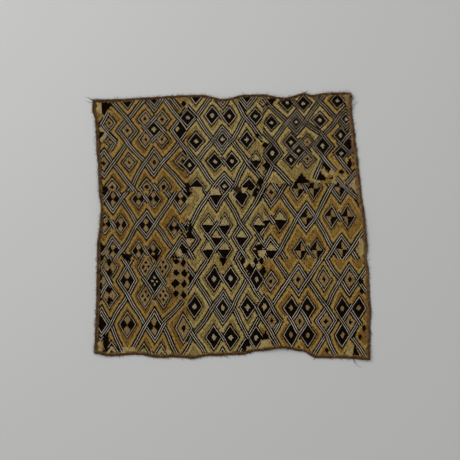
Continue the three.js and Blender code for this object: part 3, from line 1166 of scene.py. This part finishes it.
# Where a turn's corners run the wrong way round, they are swapped, so that it faces outwards
turned_over = np.cross(whips[:, 3] - whips[:, 0], whips[:, 1] - whips[:, 0])[:, 2] > 0
crossways = whips.reshape(len(whips), len(WHIP_PATH), len(WHIP_SECTION), 3)
crossways[turned_over] = crossways[turned_over][:, :, ::-1]
whip_tones = chance.uniform(0, 1, len(whips)) * np.repeat(list(WHIP_TONES.values()), len(whips) // 4)
handled_raffia = fibre_material("handled raffia strand", ("#20160d", "#4c3b2a", "#938064"))
whip_piece = joined("hem_whipping", whips, strip_faces(len(WHIP_PATH)), whip_tones, handled_raffia)

# Loose fibres.
# Split ends of the strands stick out of the hem all round, and longer broken ones lie on the
# surface at three of the corners. Each is a flat fibre that tapers to a point.
SHORT_FIBRES = 2600
FIBRE_WIDTH = 0.85
FIBRE_POINTS = 4
FIBRE_TAPER = 0.85
FIBRE_RIDGE = 0.3
RIDGE_TAPER = 0.7
FIBRE_REST = 0.25

# The short ones: where they come out of the hem, and their reach, lean, width and sideways bend
FIBRE_SHARES = (0.004, 0.996)
FIBRE_INSETS = (0.2, 2.0)
FIBRE_HEIGHTS = (1.5, 3.6)
FIBRE_WIDTHS = (0.7, 1.3)
SHORTEST_FIBRE = 1.2
USUAL_EXTRA = 1.7
LONGEST_FIBRE = 8
FIBRE_LEAN = 0.9
FIBRE_BEND = 0.5
OUTWARDS = {"top": (0, 1), "right": (1, 0), "bottom": (0, -1), "left": (-1, 0)}

# Longer fibres: start column and row, end column and row, sideways bend, all in the chart's rows
LONG_FIBRES = [
    (259, 19, 264, 14, 0.8), (259, 18, 267, 8, 1.0), (259, 12, 266, 7, -0.8), (259, 8, 264, 3, 0.7),
    (259, 6, 261, 2, -0.5), (259, 22, 264, 18, 0.5), (259, 17, 262, 10, 0.6), (258, 4, 264, 9, 1.2),
    (1, 8, -8, 4, -1.0), (1, 6, -5, 3, 0.9), (1, 9, -7, 7, 1.2), (2, 6, -3, 8, -0.8),
    (261, 266, 270.5, 274.3, -2.2), (262, 267, 266, 270, -0.6), (80, 4, 80, 1, 0.3), (82, 4, 81, 1, -0.3),
    (5, 50, 2, 49, 0.3), (6, 232, 1, 233, 0.5), (5, 236, 1, 238, -0.4), (268, 96, 270, 99, 0.4),
]
LONG_FIBRE_WIDTH = FIBRE_WIDTH * 1.1
LONG_FIBRE_HEIGHT = 1.5


def fibre_strips(starts, ends, bends, start_heights, widths):
    """Tapering strips from starts to ends, bowed sideways, that sink to the surface at their tips."""
    run = ends - starts
    length = np.linalg.norm(run, axis=1, keepdims=True)
    side = np.column_stack([-run[:, 1], run[:, 0]]) / length
    corners = []
    for share in np.linspace(0, 1, FIBRE_POINTS):
        middle = starts + run * share + side * bends[:, None] * 4 * share * (1 - share)
        height = start_heights * (1 - share) ** 1.5 + FIBRE_REST
        half = widths[:, None] * (1 - FIBRE_TAPER * share) / 2
        for edge, rise in ((-1, 0), (0, FIBRE_RIDGE), (1, 0)):
            z = height + rise * (1 - RIDGE_TAPER * share)
            corners.append(np.column_stack([middle + side * half * edge, z]))
    return np.stack(corners, 1)


fibre_sides = chance.choice(SIDES, SHORT_FIBRES)
strips = []
for side in SIDES:
    count = int((fibre_sides == side).sum())
    share = chance.uniform(*FIBRE_SHARES, count)
    starts = at_side(side, share, chance.uniform(*FIBRE_INSETS, count))
    outwards = np.array(OUTWARDS[side])
    along = outwards[::-1] * chance.normal(0, FIBRE_LEAN, (count, 1))
    reach = np.minimum(chance.exponential(USUAL_EXTRA, (count, 1)) + SHORTEST_FIBRE, LONGEST_FIBRE)
    ends = starts + (outwards + along) * reach
    height = lift(*(starts + CENTRE).T) + chance.uniform(*FIBRE_HEIGHTS, count)
    width = FIBRE_WIDTH * chance.uniform(*FIBRE_WIDTHS, count)
    strips.append(fibre_strips(starts, ends, chance.normal(0, FIBRE_BEND, count), height, width))

table = np.array(LONG_FIBRES, float)
starts, ends = to_cloth(table[:, :2]), to_cloth(table[:, 2:4])
height = lift(*(starts + CENTRE).T) + LONG_FIBRE_HEIGHT
width = np.full(len(table), LONG_FIBRE_WIDTH)
strips.append(fibre_strips(starts, ends, table[:, 4] * STITCH_ROW, height, width))

fibres = np.concatenate(strips)
fibre_tones = chance.uniform(0, 1, len(fibres))
split_raffia = fibre_material("split raffia fibre", ("#241910", "#483621", "#7d6847"), depth=0.05)
joined("loose_fibres", fibres, strip_faces(FIBRE_POINTS), fibre_tones, split_raffia)

# Floor and light of the studio, which aren't part of the cloth.
# One broad lamp above and to the left gives the pile its soft relief, and the rest is even light.
FLOOR_SIZE = 8.0
KEY_LIGHT_WATTS = 36.0
KEY_LIGHT_SIZE = 1.6
KEY_LIGHT_PLACE = (-1.5, 1.3, 2.0)
EVEN_LIGHT = 0.55

floor_mesh = bmesh.new()
bmesh.ops.create_grid(floor_mesh, x_segments=1, y_segments=1, size=FLOOR_SIZE / 2)
floor_data = bpy.data.meshes.new("floor")
floor_mesh.to_mesh(floor_data)
floor_mesh.free()
floor = bpy.data.objects.new("floor", floor_data)
floor.location.z = -0.05 * MM
bpy.context.scene.collection.objects.link(floor)
floor_paint = bpy.data.materials.new("matt pale paper")
floor_paint.use_nodes = True
floor_shader = floor_paint.node_tree.nodes["Principled BSDF"]
floor_shader.inputs["Base Color"].default_value = linear("#c4c4c2")
floor_shader.inputs["Roughness"].default_value = 0.9
floor_data.materials.append(floor_paint)

key_data = bpy.data.lights.new("key_light", "AREA")
key_data.energy = KEY_LIGHT_WATTS
key_data.size = KEY_LIGHT_SIZE
key = bpy.data.objects.new("key_light", key_data)
key.location = KEY_LIGHT_PLACE
key.rotation_euler = (-Vector(KEY_LIGHT_PLACE)).to_track_quat("-Z", "Y").to_euler()
bpy.context.scene.collection.objects.link(key)

world = bpy.data.worlds.new("even studio light")
world.use_nodes = True
world.node_tree.nodes["Background"].inputs["Color"].default_value = (1, 1, 1, 1)
world.node_tree.nodes["Background"].inputs["Strength"].default_value = EVEN_LIGHT
bpy.context.scene.world = world
bpy.context.scene.view_settings.view_transform = "Standard"
